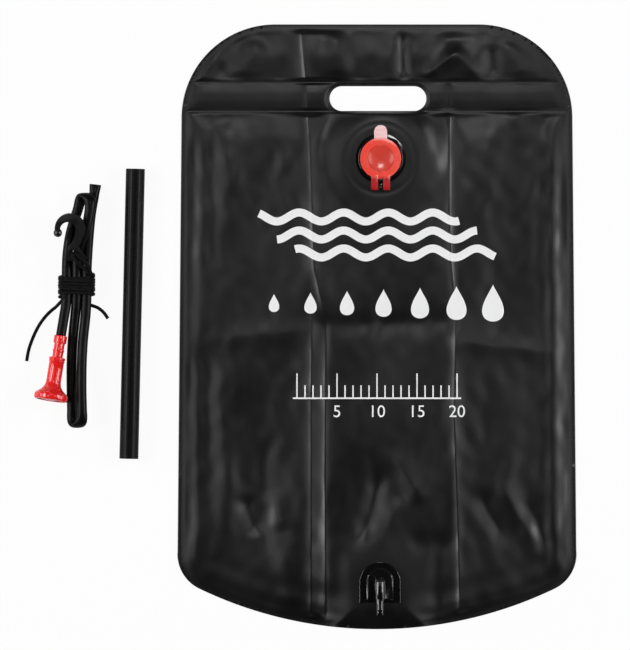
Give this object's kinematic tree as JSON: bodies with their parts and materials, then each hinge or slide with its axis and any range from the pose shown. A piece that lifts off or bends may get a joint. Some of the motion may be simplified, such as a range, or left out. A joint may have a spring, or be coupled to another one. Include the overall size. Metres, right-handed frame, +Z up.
{
  "type": "solar shower",
  "caption": "Flat welded black film shower bag with a hinged filler cap, an outlet spout, a carrying slot, a loose handle rod and a tied hose bundle with hook and push-pull rose.",
  "frame": {"origin": "middle of the bag's underside, on the ground", "axes": "+Z up from the ground, +Y from the outlet towards the handle slot, +X to the right seen from above with the slot at the top"},
  "size_m": [0.5509, 0.6036, 0.0342],
  "materials": {
    "black_film": "satin",
    "black_moulding": "gloss",
    "red_cap": "satin",
    "red_rose": "gloss",
    "black_rod": "satin",
    "black_hose": "satin",
    "black_hook": "matte",
    "black_cord": "matte",
    "seal_rubber": "matte"
  },
  "bodies": {
    "bag": {"back_sheet": "black_film", "front_sheet": "black_film", "filler_neck": "black_moulding", "outlet_fitting": "black_moulding"},
    "cap": {"filler_cap": "red_cap"},
    "rod": {"handle_rod": "black_rod"},
    "bundle": {"hose": "black_hose", "hook": "black_hook", "tie_cord_wraps": "black_cord", "tie_cord_left_strand": "black_cord", "tie_cord_right_strand": "black_cord", "tie_cord_left_tail": "black_cord", "tie_cord_right_tail": "black_cord", "rose_stem": "red_rose", "rose_o_rings": "seal_rubber"},
    "rose": {"rose_head": "red_rose", "spray_plate": "red_rose"}
  },
  "joints": [
    {"name": "cap_hinge", "type": "hinge", "parent": "bag", "child": "cap", "pos_m": [0.0036, 0.1395, 0.014], "axis": [1, 0, 0], "range_deg": [0, 160]},
    {"name": "rose_slide", "type": "slide", "parent": "bundle", "child": "rose", "axis": [-0.1558, -0.9839, 0.0872], "range_m": [0, 0.008]},
    {"name": "rod_lift", "type": "slide", "parent": "bag", "child": "rod", "axis": [0, 0, 1], "range_m": [0, 0.06]},
    {"name": "bundle_lift", "type": "slide", "parent": "bag", "child": "bundle", "axis": [0, 0, 1], "range_m": [0, 0.06]}
  ]
}
